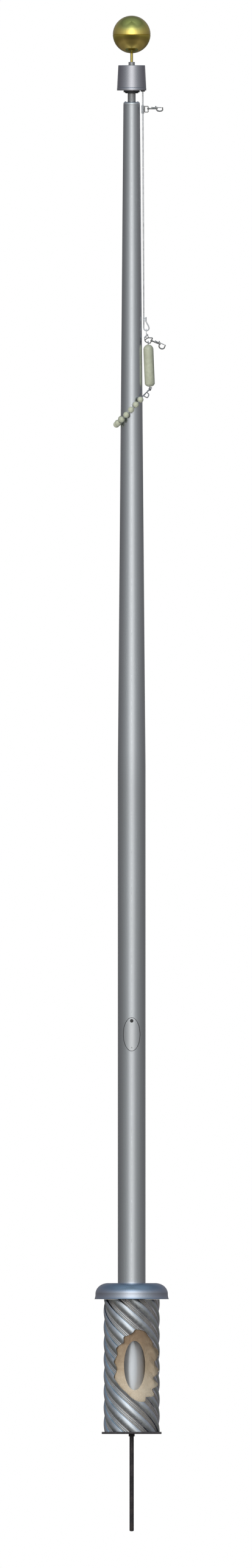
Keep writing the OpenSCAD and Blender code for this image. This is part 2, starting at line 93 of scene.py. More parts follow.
# ------------------------------------------------------------------ node helpers
class Mat:
    """A Principled material with a few helpers to wire procedural detail."""

    def __init__(self, name, color, metallic=0.0, rough=0.4, **sockets):
        self.m = bpy.data.materials.new(name)
        self.m.use_nodes = True
        self.t = self.m.node_tree
        self.n = self.t.nodes
        self.p = next(x for x in self.n if x.type == "BSDF_PRINCIPLED")
        self.p.inputs["Base Color"].default_value = (*color, 1)
        self.p.inputs["Metallic"].default_value = metallic
        self.p.inputs["Roughness"].default_value = rough
        for k, v in sockets.items():
            self.p.inputs[k.replace("_", " ")].default_value = v
        self.color = color
        self.rough = rough
        self.co = self.n.new("ShaderNodeTexCoord")

    def link(self, a, b):
        self.t.links.new(a, b)

    def mapping(self, scale=(1, 1, 1), rot=(0, 0, 0)):
        mp = self.n.new("ShaderNodeMapping")
        mp.inputs["Scale"].default_value = scale
        mp.inputs["Rotation"].default_value = rot
        self.link(self.co.outputs["Object"], mp.inputs["Vector"])
        return mp.outputs["Vector"]

    def noise(self, vec, scale, detail=4, rough=0.55, dist=0.0):
        x = self.n.new("ShaderNodeTexNoise")
        x.inputs["Scale"].default_value = scale
        x.inputs["Detail"].default_value = detail
        x.inputs["Roughness"].default_value = rough
        x.inputs["Distortion"].default_value = dist
        self.link(vec, x.inputs["Vector"])
        return x.outputs["Fac"]

    def voronoi(self, vec, scale, feature="F1", out="Distance"):
        x = self.n.new("ShaderNodeTexVoronoi")
        x.feature = feature
        x.inputs["Scale"].default_value = scale
        self.link(vec, x.inputs["Vector"])
        return x.outputs[out]

    def ramp(self, fac, stops):
        x = self.n.new("ShaderNodeValToRGB")
        el = x.color_ramp.elements
        while len(el) < len(stops):
            el.new(0.5)
        for e, (pos, col) in zip(el, stops):
            e.position = pos
            e.color = (*col, 1) if len(col) == 3 else col
        self.link(fac, x.inputs["Fac"])
        return x.outputs["Color"]

    def grey(self, fac, stops):
        return self.ramp(fac, [(p, (v, v, v)) for p, v in stops])

    def math(self, op, a, b=None, c=None):
        x = self.n.new("ShaderNodeMath")
        x.operation = op
        for i, v in enumerate((a, b, c)):
            if v is None:
                continue
            if isinstance(v, (int, float)):
                x.inputs[i].default_value = v
            else:
                self.link(v, x.inputs[i])
        return x.outputs[0]

    def mix(self, fac, a, b, mode="MIX"):
        x = self.n.new("ShaderNodeMix")
        x.data_type = "RGBA"
        x.blend_type = mode
        if isinstance(fac, (int, float)):
            x.inputs[0].default_value = fac
        else:
            self.link(fac, x.inputs[0])
        for i, v in ((6, a), (7, b)):
            if isinstance(v, tuple):
                x.inputs[i].default_value = (*v, 1)
            else:
                self.link(v, x.inputs[i])
        return x.outputs[2]

    def xyz(self, vec):
        x = self.n.new("ShaderNodeSeparateXYZ")
        self.link(vec, x.inputs[0])
        return x.outputs

    def bump(self, height, strength, distance, after=None):
        x = self.n.new("ShaderNodeBump")
        x.inputs["Strength"].default_value = strength
        x.inputs["Distance"].default_value = distance
        self.link(height, x.inputs["Height"])
        if after is not None:
            self.link(after, x.inputs["Normal"])
        self.link(x.outputs["Normal"], self.p.inputs["Normal"])
        return x.outputs["Normal"]

    def base(self, colour):
        self.link(colour, self.p.inputs["Base Color"])

    def roughness(self, value):
        self.link(value, self.p.inputs["Roughness"])


def tint(c, f):
    return tuple(min(1.0, x * f) for x in c)


# satin anodised extrusion: fine draw lines along the pole, cloudy anodising, a few faint rubs
def anodised(name, color, rough=0.30):
    m = Mat(name, color, 1.0, rough)
    v = m.mapping()
    lines = m.noise(m.mapping((900, 900, 3.0)), 1.0, 3, 0.6)
    cloud = m.noise(m.mapping((6, 6, 1.2)), 1.0, 5, 0.6, 0.4)
    fine = m.noise(v, 900, 2, 0.5)
    c1 = m.ramp(cloud, [(0.3, tint(color, 0.94)), (0.7, tint(color, 1.05))])
    c2 = m.ramp(lines, [(0.35, tint(color, 0.95)), (0.65, tint(color, 1.04))])
    m.base(m.mix(0.5, c1, c2))
    r = m.math("ADD", m.math("MULTIPLY", cloud, 0.10), m.math("MULTIPLY", lines, 0.07))
    m.roughness(m.math("ADD", r, rough - 0.085))
    b = m.bump(lines, 0.10, 0.00015)
    m.bump(fine, 0.05, 0.0001, b)
    return m.m


# turned or spun metal: fine rings round the pole's axis
def turned(name, color, rough=0.32, pitch=1400.0, cx=0.0, grain=0.12):
    m = Mat(name, color, 1.0, rough)
    x, y, z = m.xyz(m.mapping())
    x = m.math("SUBTRACT", x, cx)
    r = m.math("SQRT", m.math("ADD", m.math("MULTIPLY", x, x), m.math("MULTIPLY", y, y)))
    comb = m.n.new("ShaderNodeCombineXYZ")
    m.link(m.math("MULTIPLY", r, pitch), comb.inputs[0])
    m.link(m.math("MULTIPLY", z, pitch), comb.inputs[1])
    rings = m.noise(comb.outputs[0], 1.0, 3, 0.65)
    cloud = m.noise(m.mapping(), 14, 5, 0.6, 0.3)
    c1 = m.ramp(rings, [(0.35, tint(color, 0.90)), (0.68, tint(color, 1.07))])
    c2 = m.ramp(cloud, [(0.3, tint(color, 0.92)), (0.7, tint(color, 1.06))])
    m.base(m.mix(0.5, c1, c2))
    m.roughness(m.math("ADD", m.math("ADD", m.math("MULTIPLY", cloud, 0.14), m.math("MULTIPLY", rings, 0.08)), rough - 0.10))
    m.bump(rings, grain, 0.00012)
    return m.m


def gilt():
    c = (0.82, 0.66, 0.18)
    m = Mat("gilt", c, 1.0, 0.06)
    v = m.mapping()
    cloud = m.noise(v, 22, 5, 0.6, 0.6)
    specks = m.noise(v, 650, 3, 0.6)
    m.base(m.ramp(cloud, [(0.3, (0.78, 0.62, 0.155)), (0.7, (0.86, 0.70, 0.20))]))
    m.roughness(m.math("ADD", m.math("ADD", m.math("MULTIPLY", cloud, 0.05), m.math("MULTIPLY", specks, 0.03)), 0.03))
    m.bump(specks, 0.03, 0.0001)
    return m.m


def galvanised():
    c = (0.60, 0.62, 0.65)
    m = Mat("galvanised", c, 1.0, 0.24)
    v = m.mapping()
    spangle = m.voronoi(v, 95, "F1", "Color")
    sp = m.xyz(spangle)[0]
    cloud = m.noise(v, 9, 6, 0.6, 0.8)
    grit = m.noise(v, 420, 3, 0.6)
    a = m.ramp(sp, [(0.0, (0.50, 0.53, 0.57)), (1.0, (0.68, 0.71, 0.75))])
    b = m.ramp(cloud, [(0.3, (0.45, 0.47, 0.50)), (0.62, (0.68, 0.71, 0.75))])
    col = m.mix(0.5, a, b)
    # painted shade: the deepest part of each valley between the ribs is painted brown, and made less metallic and
    # rougher
    x, y, z = m.xyz(v)
    r = m.math("SQRT", m.math("ADD", m.math("MULTIPLY", x, x), m.math("MULTIPLY", y, y)))
    deep = m.math("DIVIDE", m.math("SUBTRACT", 0.1212, r), 0.0009)
    deep.node.use_clamp = True
    crest = m.math("DIVIDE", m.math("SUBTRACT", r, 0.1250), 0.0018)
    crest.node.use_clamp = True
    valley_shade = m.math("MULTIPLY", deep, m.math("MULTIPLY_ADD", cloud, 1.3, 0.10))
    valley_shade.node.use_clamp = True
    m.base(m.mix(valley_shade, col, (0.36, 0.285, 0.21)))
    m.link(m.math("MULTIPLY_ADD", valley_shade, -0.45, 1.0), m.p.inputs["Metallic"])
    rr = m.math("ADD", m.math("MULTIPLY", sp, 0.06), m.math("MULTIPLY", cloud, 0.08))
    rr = m.math("ADD", rr, m.math("MULTIPLY", crest, 0.20))
    m.roughness(m.math("ADD", rr, m.math("MULTIPLY_ADD", valley_shade, 0.25, 0.10)))
    n = m.bump(grit, 0.06, 0.0003)
    m.bump(cloud, 0.12, 0.0008, n)
    return m.m


def black_steel():
    m = Mat("black_steel", (0.06, 0.052, 0.055), 0.85, 0.45)
    v = m.mapping()
    cloud = m.noise(v, 16, 6, 0.65, 0.5)
    scale = m.noise(v, 130, 5, 0.7)
    m.base(m.ramp(cloud, [(0.32, (0.040, 0.036, 0.038)), (0.55, (0.075, 0.066, 0.070)), (0.78, (0.12, 0.085, 0.065))]))
    m.roughness(m.math("ADD", m.math("MULTIPLY", scale, 0.35), 0.28))
    n = m.bump(scale, 0.25, 0.0008)
    m.bump(cloud, 0.2, 0.0015, n)
    return m.m


def dark_metal(name, color=(0.16, 0.16, 0.17), rough=0.38, metallic=0.9):
    m = Mat(name, color, metallic, rough)
    v = m.mapping()
    cloud = m.noise(v, 60, 5, 0.6, 0.3)
    fine = m.noise(v, 900, 3, 0.6)
    m.base(m.ramp(cloud, [(0.3, tint(color, 0.75)), (0.7, tint(color, 1.25))]))
    m.roughness(m.math("ADD", m.math("MULTIPLY", cloud, 0.22), rough - 0.11))
    m.bump(fine, 0.03, 0.0001)
    return m.m


def sand():
    m = Mat("dry_sand", (0.55, 0.44, 0.31), 0.0, 0.95)
    v = m.mapping()
    z = m.xyz(v)[2]
    # painted shade: the sand is painted darker towards the top of the opening, mixed with random darker patches
    painted_top_shade = m.n.new("ShaderNodeMapRange")
    painted_top_shade.inputs["From Min"].default_value = -0.42
    painted_top_shade.inputs["From Max"].default_value = -0.15
    m.link(z, painted_top_shade.inputs["Value"])
    grain = m.noise(v, 1500, 3, 0.7)
    coarse = m.voronoi(v, 900, "F1", "Color")
    patch = m.noise(v, 26, 6, 0.65, 0.6)
    shade_and_patches = m.math("ADD", m.math("MULTIPLY", painted_top_shade.outputs[0], 0.75), m.math("MULTIPLY", patch, 0.5))
    c1 = m.ramp(shade_and_patches, [(0.22, (0.52, 0.43, 0.32)), (0.55, (0.36, 0.27, 0.18)), (0.95, (0.19, 0.125, 0.075))])
    c2 = m.ramp(m.xyz(coarse)[0], [(0.0, (0.60, 0.55, 0.50)), (0.5, (1, 1, 1)), (1.0, (1.25, 1.2, 1.1))])
    m.base(m.mix(0.35, c1, c2, "MULTIPLY"))
    n = m.bump(grain, 0.6, 0.0012)
    m.bump(patch, 0.5, 0.006, n)
    return m.m


# moulded cover and beads: slightly mottled khaki plastic with a soft sheen
def khaki(name, color=(0.50, 0.51, 0.40)):
    m = Mat(name, color, 0.0, 0.32)
    m.p.inputs["Coat Weight"].default_value = 0.25
    m.p.inputs["Coat Roughness"].default_value = 0.18
    m.p.inputs["Subsurface Weight"].default_value = 0.05
    m.p.inputs["Subsurface Radius"].default_value = (0.004, 0.004, 0.002)
    v = m.mapping()
    cloud = m.noise(v, 45, 5, 0.6, 0.6)
    fine = m.noise(v, 1100, 2, 0.5)
    scuff = m.noise(m.mapping((220, 220, 40)), 1.0, 4, 0.7)
    c = m.ramp(cloud, [(0.28, tint(color, 0.86)), (0.72, tint(color, 1.10))])
    m.base(m.mix(m.xyz(m.grey(scuff, [(0.60, 0.0), (0.80, 0.35)]))[0], c, tint(color, 0.62)))
    m.roughness(m.math("ADD", m.math("MULTIPLY", cloud, 0.16), 0.24))
    m.bump(fine, 0.08, 0.0002)
    return m.m


def plastic_black():
    m = Mat("black_plastic", (0.012, 0.012, 0.013), 0.0, 0.35)
    v = m.mapping()
    a = m.noise(v, 700, 3, 0.6)
    b = m.noise(v, 40, 4, 0.6)
    m.base(m.ramp(b, [(0.3, (0.009, 0.009, 0.010)), (0.7, (0.020, 0.020, 0.021))]))
    m.roughness(m.math("ADD", m.math("MULTIPLY", b, 0.2), 0.22))
    m.bump(a, 0.15, 0.0002)
    return m.m


SHAFT = (0.645, 0.67, 0.715)
M = {
    "shaft_aluminium": anodised("shaft_aluminium", SHAFT, 0.255),
    "hood": turned("hood_aluminium", (0.475, 0.475, 0.52), 0.26, 900, 0.0, 0.02),
    "dusted": anodised("dusted_aluminium", (0.62, 0.64, 0.67), 0.30),
    # painted reflection: the door's aluminium is a lighter copy of the shaft's colour, so the panel reads brighter than
    # the pole round it
    "door": anodised("door_aluminium", (0.72, 0.737, 0.77), 0.34),
    "cap": turned("cap_aluminium", (0.74, 0.75, 0.76), 0.36, 1100),
    "collar_aluminium": turned("collar_aluminium", (0.47, 0.50, 0.57), 0.27, 700),
    "spindle_steel": turned("spindle_steel", (0.50, 0.50, 0.51), 0.45, 1200),
    "bearing_metal": dark_metal("bearing_metal", (0.085, 0.085, 0.09), 0.42),
    "gilt": gilt(),
    "galvanised": galvanised(),
    "black_steel": black_steel(),
    "dry_sand": sand(),
    "wire_rope": dark_metal("wire_rope", (0.66, 0.66, 0.665), 0.42, 0.75),
    "nickel": dark_metal("bright_nickel", (0.55, 0.55, 0.57), 0.30, 1.0),
    "snap_metal": dark_metal("snap_metal", (0.25, 0.248, 0.24), 0.26, 1.0),
    "bolt_metal": dark_metal("bolt_metal", (0.34, 0.34, 0.34), 0.28, 1.0),
    "weight_sleeve": khaki("weight_sleeve", (0.318, 0.322, 0.238)),
    "bead_plastic": khaki("bead_plastic", (0.345, 0.347, 0.258)),
    "black_plastic": plastic_black(),
}
SLOT = {s["node"]: s["material_slot"] for s in frame["record"]["subparts"]}


def paint(obj, mat):
    obj.data.materials.clear()
    obj.data.materials.append(mat)


# the door frame, seen only through the gap round the door, takes the near-black bearing metal: painted shade in that
# gap
FINISH = {"truck_hood": "hood", "pole_cap": "cap", "door_panel": "door", "door_frame": "bearing_metal",
          "ring_clip": "nickel", "counterweight_bottom_eye": "nickel", "counterweight_top_eye": "nickel",
          "link_barrel": "nickel", "cap_screws": "spindle_steel"}
for name, o in nodes.items():
    paint(o, M[FINISH.get(name, SLOT[name])])
    for f in o.data.polygons:
        f.use_smooth = True


# ------------------------------------------------------------------ mesh helpers
def new_mesh(name, verts, faces, smooth=True):
    me = bpy.data.meshes.new(name)
    me.from_pydata([tuple(v) for v in verts], [], faces)
    me.validate()
    me.update()
    if smooth:
        for f in me.polygons:
            f.use_smooth = True
    o = bpy.data.objects.new(name, me)
    scene.collection.objects.link(o)
    return o


def place(o, body, slot, mat, *replaced):
    paint(o, mat)
    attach(o, body)
    if replaced:
        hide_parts(*replaced)
    return o


def apply_mods(o):
    dg = bpy.context.evaluated_depsgraph_get()
    me = bpy.data.meshes.new_from_object(o.evaluated_get(dg))
    o.modifiers.clear()
    o.data = me
    return o


def sharpen(o, angle=32):
    """Smooth shading with the edges over the angle kept crisp."""
    me = o.data
    bm = bmesh.new()
    bm.from_mesh(me)
    for e in bm.edges:
        e.smooth = not (len(e.link_faces) != 2 or e.calc_face_angle(0) > math.radians(angle))
    for f in bm.faces:
        f.smooth = True
    bm.to_mesh(me)
    bm.free()


def lathe(name, profile, seg=128, frame_fn=None, closed=True):
    """Turns a closed profile of (radius, height) points, in metres, round Z."""
    verts, faces, rows = [], [], []
    for r, z in profile:
        if r < 1e-7:
            rows.append([len(verts)])
            verts.append((0, 0, z))
        else:
            rows.append(list(range(len(verts), len(verts) + seg)))
            verts += [(r * math.cos(2 * PI * k / seg), r * math.sin(2 * PI * k / seg), z) for k in range(seg)]
    pairs = list(zip(rows, rows[1:])) + ([(rows[-1], rows[0])] if closed else [])
    for a, b in pairs:
        if len(a) == 1 and len(b) == 1:
            continue
        for k in range(seg):
            k2 = (k + 1) % seg
            if len(a) == 1:
                faces.append((a[0], b[k2], b[k]))
            elif len(b) == 1:
                faces.append((a[k], a[k2], b[0]))
            else:
                faces.append((a[k], a[k2], b[k2], b[k]))
    if frame_fn:
        verts = [frame_fn(Vector(v)) for v in verts]
    o = new_mesh(name, verts, faces)
    bm = bmesh.new()
    bm.from_mesh(o.data)
    bmesh.ops.recalc_face_normals(bm, faces=bm.faces)
    bm.to_mesh(o.data)
    bm.free()
    sharpen(o)
    return o


def arc(cx, cy, rx, ry, a0, a1, n):
    return [(cx + rx * math.cos(math.radians(a0 + (a1 - a0) * i / n)),
             cy + ry * math.sin(math.radians(a0 + (a1 - a0) * i / n))) for i in range(n + 1)]


def frames(pts, closed=False):
    """Tangents and a twist-free pair of normals along a polyline."""
    n = len(pts)
    out = []
    ref = None
    for i in range(n):
        a = pts[i - 1] if (i > 0 or closed) else pts[i]
        b = pts[(i + 1) % n] if (i < n - 1 or closed) else pts[i]
        t = (b - a).normalized()
        if ref is None:
            ref = Vector((0, 1, 0)) if abs(t.y) < 0.9 else Vector((1, 0, 0))
        u = (ref - t * ref.dot(t)).normalized()
        w = t.cross(u)
        ref = u
        out.append((t, u, w))
    return out


def resample(pts, step, closed=False):
    pts = [Vector(p) for p in pts]
    if closed:
        pts = pts + [pts[0]]
    d = [0.0]
    for a, b in zip(pts, pts[1:]):
        d.append(d[-1] + (b - a).length)
    n = max(3, round(d[-1] / step))
    out, j = [], 0
    for i in range(n + (0 if closed else 1)):
        s = d[-1] * i / n
        while j < len(d) - 2 and d[j + 1] < s:
            j += 1
        f = (s - d[j]) / max(1e-9, d[j + 1] - d[j])
        out.append(pts[j].lerp(pts[j + 1], min(1, max(0, f))))
    return out


def smooth_path(pts, n=8, closed=False):
    """Catmull-Rom through the points."""
    p = [Vector(q) for q in pts]
    out = []
    m = len(p)
    for i in range(m if closed else m - 1):
        a = p[i - 1] if (i > 0 or closed) else p[i] * 2 - p[i + 1]
        b, c = p[i], p[(i + 1) % m]
        d = p[(i + 2) % m] if (i + 2 < m or closed) else c * 2 - b
        for k in range(n):
            t = k / n
            out.append(0.5 * ((2 * b) + (c - a) * t + (2 * a - 5 * b + 4 * c - d) * t * t + (3 * b - a - 3 * c + d) * t ** 3))
    if not closed:
        out.append(p[-1])
    return out


def tube(name, pts, section, closed=False, caps=True):
    """Sweeps section(i, arc length) -> list of (u, w) offsets along the points."""
    fr = frames(pts, closed)
    verts, faces = [], []
    s = 0.0
    m = None
    for i, (p, (t, u, w)) in enumerate(zip(pts, fr)):
        if i:
            s += (pts[i] - pts[i - 1]).length
        sec = section(i, s)
        m = len(sec)
        verts += [p + u * a + w * b for a, b in sec]
    n = len(pts)
    for i in range(n if closed else n - 1):
        for k in range(m):
            k2, i2 = (k + 1) % m, (i + 1) % n
            faces.append((i * m + k, i * m + k2, i2 * m + k2, i2 * m + k))
    if caps and not closed:
        faces.append(tuple(range(m - 1, -1, -1)))
        faces.append(tuple((n - 1) * m + k for k in range(m)))
    o = new_mesh(name, verts, faces)
    bm = bmesh.new()
    bm.from_mesh(o.data)
    bmesh.ops.recalc_face_normals(bm, faces=bm.faces)
    bm.to_mesh(o.data)
    bm.free()
    sharpen(o, 50)
    return o


def strand_section(radius, strands=6, lay=0.042, pts_per=4, depth=0.17):
    """Outline of a laid wire rope: round strands that turn as they run on."""
    n = strands * pts_per

    def f(i, s):
        tw = 2 * PI * s / lay
        out = []
        for k in range(n):
            a = 2 * PI * k / n
            lobe = abs(math.cos(strands * (a - tw) / 2))
            r = radius * (1 - depth * (1 - lobe ** 0.8))
            out.append((r * math.cos(a), r * math.sin(a)))
        return out
    return f


def turn_section(radii, n=18):
    """A round section whose radius changes from point to point."""
    return lambda i, s: [(radii[i] * math.cos(2 * PI * k / n), radii[i] * math.sin(2 * PI * k / n)) for k in range(n)]


def rod(name, a, b, r, n=18, cap=None):
    """A straight rod with rounded ends, inside the two end points."""
    a, b = Vector(a), Vector(b)
    e = min(r, (b - a).length / 2) if cap is None else cap
    d = (b - a).normalized()
    pts, rad = [], []
    for j in range(6):
        f = j / 5
        pts.append(a + d * e * (1 - math.cos(f * PI / 2)))
        rad.append(r - e + e * math.sin(f * PI / 2) if e < r else max(0.02 * r, r * math.sin(f * PI / 2)))
    for j in range(6):
        f = 1 - j / 5
        pts.append(b - d * e * (1 - math.cos(f * PI / 2)))
        rad.append(r - e + e * math.sin(f * PI / 2) if e < r else max(0.02 * r, r * math.sin(f * PI / 2)))
    return tube(name, pts, turn_section(rad, n))


def fillet(pts, rad, n=6):
    """Closed polygon with its corners rounded."""
    p = [Vector(q) for q in pts]
    out = []
    for i, c in enumerate(p):
        a, b = (p[i - 1] - c), (p[(i + 1) % len(p)] - c)
        e = min(rad, a.length * 0.45, b.length * 0.45)
        s0, s1 = c + a.normalized() * e, c + b.normalized() * e
        for k in range(n + 1):
            t = k / n
            out.append(s0 * (1 - t) ** 2 + c * 2 * t * (1 - t) + s1 * t * t)
    return out


def ring_solid(name, outer, inner, x0, x1, T, bevel=0.0003, seg=40):
    """A washer about the local X axis, with its edges eased."""
    prof = [(inner, x0 + bevel), (inner + bevel, x0), (outer - bevel, x0), (outer, x0 + bevel), (outer, x1 - bevel), (outer - bevel, x1),
            (inner + bevel, x1), (inner, x1 - bevel)]
    return lathe(name, prof, seg, lambda v: T @ Vector((v.z, v.y, -v.x)))


def round_section(radius, n=16):
    sec = [(radius * math.cos(2 * PI * k / n), radius * math.sin(2 * PI * k / n)) for k in range(n)]
    return lambda i, s: sec


def join(name, objs):
    """One mesh object from several."""
    verts, faces = [], []
    for o in objs:
        base = len(verts)
        verts += [o.matrix_world @ v.co for v in o.data.vertices]
        faces += [tuple(base + i for i in f.vertices) for f in o.data.polygons]
    for o in objs:
        bpy.data.objects.remove(o)
    out = new_mesh(name, verts, faces)
    sharpen(out, 40)
    return out


# ------------------------------------------------------------------ ball
lo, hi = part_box("ball_upper")
lo2, hi2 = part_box("ball_lower")
R = (hi.z - lo.z)
BZ = lo.z
WALL = 0.0016
G = 0.0007                        # half the seam groove
up = arc(0, BZ, R, R, 90, math.degrees(math.asin(G * 1.6 / R)), 56)
up += [(R - 0.0006, BZ + G * 0.7), (R - WALL, BZ)] + arc(0, BZ, R - WALL, R - WALL, 0.4, 90, 24)
ball_top = lathe("ball_top", up, 160, closed=False)
rr = 0.00625
a_low = -math.degrees(math.acos(rr / R))
dn = arc(0, BZ, R, R, -math.degrees(math.asin(G * 1.6 / R)), a_low + 2.2, 56)
dn += [(rr + 0.0022, BZ - R + 0.0001), (rr + 0.0004, BZ - R + 0.0001), (rr, BZ - R + 0.0012)]
dn += arc(0, BZ, R - WALL, R - WALL, -math.degrees(math.acos(rr / (R - WALL))), -0.4, 24)
dn += [(R - WALL, BZ), (R - 0.0006, BZ - G * 0.7)]
ball_bottom = lathe("ball_bottom", dn, 160)
place(ball_top, "truck", "gilt", M["gilt"], "ball_upper")
place(ball_bottom, "truck", "gilt", M["gilt"], "ball_lower")


# ------------------------------------------------------------------ shaft: one drawn tube with the oval opening cut in it
def recalc(o):
    bm = bmesh.new()
    bm.from_mesh(o.data)
    bmesh.ops.recalc_face_normals(bm, faces=bm.faces)
    bm.to_mesh(o.data)
    bm.free()


def oval_cutter(a, b, cx, cz, y0, y1, n=96):
    pts = [(cx + a * math.cos(2 * PI * k / n), cz + b * math.sin(2 * PI * k / n)) for k in range(n)]
    v = [(x, y0, z) for x, z in pts] + [(x, y1, z) for x, z in pts]
    f = [tuple(range(n)), tuple(range(2 * n - 1, n - 1, -1))]
    f += [(i, n + i, n + (i + 1) % n, (i + 1) % n) for i in range(n)]
    c = new_mesh("cutter", v, f, False)
    recalc(c)
    return c


def cut_away(o, c, angle=32):
    mod = o.modifiers.new("cut", "BOOLEAN")
    mod.operation = "DIFFERENCE"
    mod.solver = "EXACT"
    mod.object = c
    apply_mods(o)
    bpy.data.objects.remove(c)
    sharpen(o, angle)
    return o


BUTT, TOP, WALLT, Z_TOP, Z_TAPER, Z_BOT, DOOR_Z = 0.0635, 0.0381, 0.0032, 5.475, 2.442, -0.608, 1.214
DOOR_W, DOOR_H = 0.0788, 0.155


def shaft_r(z):
    return BUTT if z <= Z_TAPER else BUTT - (BUTT - TOP) * (z - Z_TAPER) / (Z_TOP - Z_TAPER)


zs = [Z_BOT + (Z_TAPER - Z_BOT) * i / 30 for i in range(31)] + [Z_TAPER + (Z_TOP - Z_TAPER) * i / 40 for i in range(1, 41)]
prof = [(shaft_r(z) - (0.0006 if i in (0, len(zs) - 1) else 0), z) for i, z in enumerate(zs)]
prof = [(BUTT - 0.0006, Z_BOT), (BUTT, Z_BOT + 0.0006)] + [(shaft_r(z), z) for z in zs[1:-1]]
prof += [(TOP, Z_TOP - 0.0006), (TOP - 0.0006, Z_TOP)]
prof += [(TOP - WALLT, Z_TOP), (BUTT - WALLT, Z_TAPER), (BUTT - WALLT, Z_BOT)]
shaft = lathe("shaft_tube", prof, 160)
cut_away(shaft, oval_cutter(DOOR_W / 2, DOOR_H / 2, 0, DOOR_Z, -0.01, -0.1))
M["dusted"].node_tree.nodes["Principled BSDF"].inputs["Metallic"].default_value = 0.55
place(shaft, "pole", "shaft_aluminium", M["shaft_aluminium"], *[n for n in nodes if n.startswith("shaft_") or n == "pole_shaft"])


shaft.data.materials.append(M["dusted"])
for f in shaft.data.polygons:      # the face that the sand has dulled
    if f.center.z < -0.1 and f.center.y < 0 and f.center.length > 0:
        if math.hypot(f.center.x, f.center.y) > BUTT - 0.001:
            f.material_index = 1


# ------------------------------------------------------------------ base plate, hub and spike
lo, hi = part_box("sleeve_base_plate")
bm = bmesh.new()
bmesh.ops.create_cube(bm, size=1.0, matrix=Matrix.Translation((lo + hi) / 2) @ Matrix.Diagonal((*(hi - lo), 1)))
bmesh.ops.bevel(bm, geom=bm.edges[:], offset=0.0014, segments=3, affect="EDGES", profile=0.5)
me = bpy.data.meshes.new("base_plate")
bm.to_mesh(me)
bm.free()
plate = bpy.data.objects.new("base_plate", me)
scene.collection.objects.link(plate)
sharpen(plate, 60)
place(plate, "pole", "black_steel", M["black_steel"], "sleeve_base_plate")
lo2, hi2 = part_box("earth_spike")
zb, zt = lo2.z, lo.z
prof = [(0.0, zb)] + [(0.010 * math.sin(math.radians(a)), zb + 0.004 - 0.004 * math.cos(math.radians(a))) for a in range(10, 91, 10)]
prof += [(0.010, zt - 0.0125)] + arc(0.0125, zt - 0.0125, 0.0025, 0.0015, 180, 90, 4)
prof += [(0.0134, zt - 0.011), (0.014, zt - 0.0104), (0.014, zt - 0.0006), (0.0134, zt), (0.0, zt)]
spike = lathe("spike_rod", prof, 64, closed=False)
place(spike, "pole", "black_steel", M["black_steel"], "earth_spike")


# ------------------------------------------------------------------ flash collar: spun shell with a rolled foot
lo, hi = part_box("flash_collar")
CR, CH = hi.x, hi.z
T = 0.0025
outer = [(0.06352, CH - 0.0004), (0.0645, CH)] + arc(0.108, CH - 0.049, 0.058, 0.049, 90, 0, 40)
outer += [(0.1664, 0.016), (0.1678, 0.0085), (CR - 0.0012, 0.0028), (CR - 0.0002, 0.0012), (CR - 0.0004, 0.0)]
inner = [(CR - T, 0.0), (CR - T - 0.001, 0.004), (0.1664 - T, 0.016)]
inner += arc(0.108, CH - 0.049, 0.058 - T, 0.049 - T, 0, 90, 24) + [(0.0645, CH - T), (0.06352, CH - T + 0.0004)]
collar = lathe("collar_shell", outer + inner, 160)
place(collar, "pole", "collar_aluminium", M["collar_aluminium"], "flash_collar")


# ------------------------------------------------------------------ truck hood: spun bonnet with a rolled lower rim
lo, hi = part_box("truck_hood")
HZ0, HZ1, HR = lo.z, hi.z, hi.x
prof = [(0.00625, HZ1), (0.0590, HZ1)] + arc(0.0590, HZ1 - 0.0022, 0.0025, 0.0022, 80, 0, 6)
prof += [(0.06153, HZ1 - 0.0028), (0.0616, HZ1 - 0.0040), (0.0640, (HZ0 + HZ1) / 2 + 0.006), (0.06643, HZ0 + 0.0160), (0.0665, HZ0 + 0.0148)]
prof += [(0.0665, HZ0 + 0.0145), (0.0662, HZ0 + 0.0132), (0.0666, HZ0 + 0.0122), (HR - 0.0002, HZ0 + 0.0112),
         (HR, HZ0 + 0.0095), (HR, HZ0 + 0.0012), (HR - 0.0008, HZ0), (HR - 0.0022, HZ0), (HR - 0.0027, HZ0 + 0.0012),
         (0.0640, HZ0 + 0.012), (0.0590, HZ1 - 0.003), (0.00625, HZ1 - 0.003)]
hood = lathe("hood_bonnet", prof, 144)
place(hood, "truck", "shaft_aluminium", M["hood"], "truck_hood")


# ------------------------------------------------------------------ ground sleeve: spiral corrugation with the ragged opening
RO, RIDGE, ST, LEAD, DEPTH, N = 0.1285, 0.009, 0.002, 0.664, 0.608, 9
WINDOW = [(28, -139), (61, -148), (79, -173), (95, -197), (100, -217), (118, -229), (124, -250), (118, -271),
          (105, -287), (108, -303), (125, -324), (123, -342), (100, -358), (103, -370), (120, -386), (117, -401),
          (95, -411), (99, -426), (104, -435), (98, -446), (65, -449), (62, -467), (33, -470), (-2, -451),
          (-25, -428), (-48, -407), (-71, -377), (-82, -356), (-71, -333), (-71, -310), (-82, -287), (-71, -266),
          (-67, -247), (-71, -224), (-48, -206), (-37, -197), (-37, -173), (-18, -167), (3, -155), (14, -141)]


def rib(p):
    """Height of the rolled rib, 0 to 1: a broad crowned crest, tight shoulders and a shallow ribbed valley."""
    q = abs(p - 0.5) * 2                       # 0 in the valley's middle, 1 on the crest
    if q > 0.46:
        return 1.0 - 0.30 * (1 - math.cos((1 - q) / 0.54 * PI / 2))
    if q > 0.32:
        t = (q - 0.32) / 0.14
        return 0.13 + 0.57 * (t * t * (3 - 2 * t))
    return 0.13 - 0.10 * math.cos(q / 0.32 * PI * 2.5)


